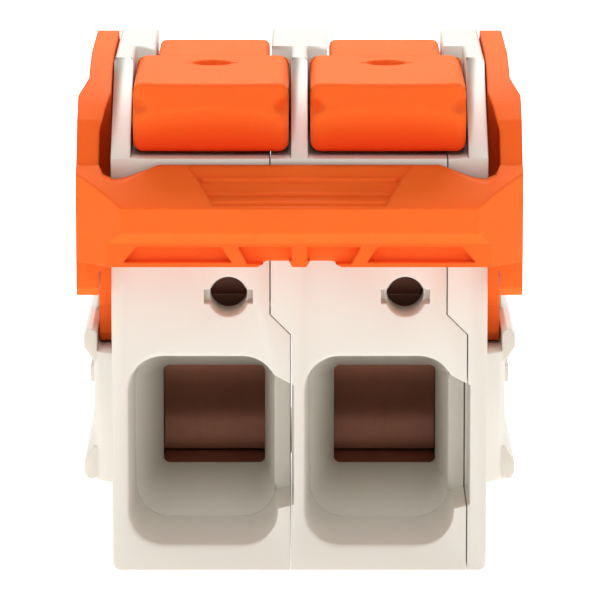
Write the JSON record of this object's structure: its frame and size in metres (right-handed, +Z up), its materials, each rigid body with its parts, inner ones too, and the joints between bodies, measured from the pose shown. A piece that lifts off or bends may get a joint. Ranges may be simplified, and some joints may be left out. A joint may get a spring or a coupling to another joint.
{
  "type": "lever wire connector",
  "caption": "Pluggable wire connector: flip levers open spring clamps over square wire entries, with test holes and a latch bail.",
  "frame": {"origin": "on the bottom face, below the middle of the whole part's box", "axes": "+X across the poles to the right seen from the wire side, +Y from the wire side to the plug side, +Z up"},
  "size_m": [0.0262, 0.038, 0.0289],
  "materials": {
    "pale_housing": "fine matt moulding",
    "orange_bail": "satin moulding",
    "orange_lever": "satin moulding",
    "steel": "bright",
    "spring_strip": "dull copper-brown",
    "contact_copper": "dull copper"
  },
  "bodies": {
    "housing": {"pole_housing_1": "pale_housing", "pole_housing_2": "pale_housing", "end_plate": "pale_housing", "plug_shroud": "pale_housing", "lever_axle_1": "steel", "lever_axle_2": "steel", "clamp_spring_1": "spring_strip", "clamp_spring_2": "spring_strip", "clamp_cage_1": "steel", "clamp_cage_2": "steel", "current_bar_1": "contact_copper", "current_bar_2": "contact_copper", "contact_socket_1": "contact_copper", "contact_socket_2": "contact_copper", "over_spring_1": "steel", "over_spring_2": "steel"},
    "latch_bail": {"latch_bail": "orange_bail"},
    "lever_1": {"lever_1": "orange_lever"},
    "lever_2": {"lever_2": "orange_lever"},
    "clamp_leg_1": {"clamp_leg_1": "spring_strip"},
    "clamp_leg_2": {"clamp_leg_2": "spring_strip"}
  },
  "joints": [
    {"name": "lever_1_flip", "type": "hinge", "parent": "housing", "child": "lever_1", "pos_m": [-0.00508, 0.00145, 0.0249], "axis": [-1, 0, 0], "range_deg": [0, 85]},
    {"name": "lever_2_flip", "type": "hinge", "parent": "housing", "child": "lever_2", "pos_m": [0.00508, 0.00145, 0.0249], "axis": [-1, 0, 0], "range_deg": [0, 85]},
    {"name": "clamp_leg_1_lift", "type": "hinge", "parent": "housing", "child": "clamp_leg_1", "pos_m": [-0.00508, -0.00215, 0.01275], "axis": [1, 0, 0], "range_deg": [0, 40]},
    {"name": "clamp_leg_2_lift", "type": "hinge", "parent": "housing", "child": "clamp_leg_2", "pos_m": [0.00508, -0.00215, 0.01275], "axis": [1, 0, 0], "range_deg": [0, 40]},
    {"name": "latch_bail_press", "type": "hinge", "parent": "housing", "child": "latch_bail", "pos_m": [0, 0.00655, 0.014], "axis": [1, 0, 0], "range_deg": [0, 7], "stiffness_Nm_per_rad": 0.05, "springref_deg": -2.86}
  ],
  "couplings": [
    {"joint": "clamp_leg_1_lift", "follows": "lever_1_flip", "ratio": 0.47},
    {"joint": "clamp_leg_2_lift", "follows": "lever_2_flip", "ratio": 0.47}
  ]
}
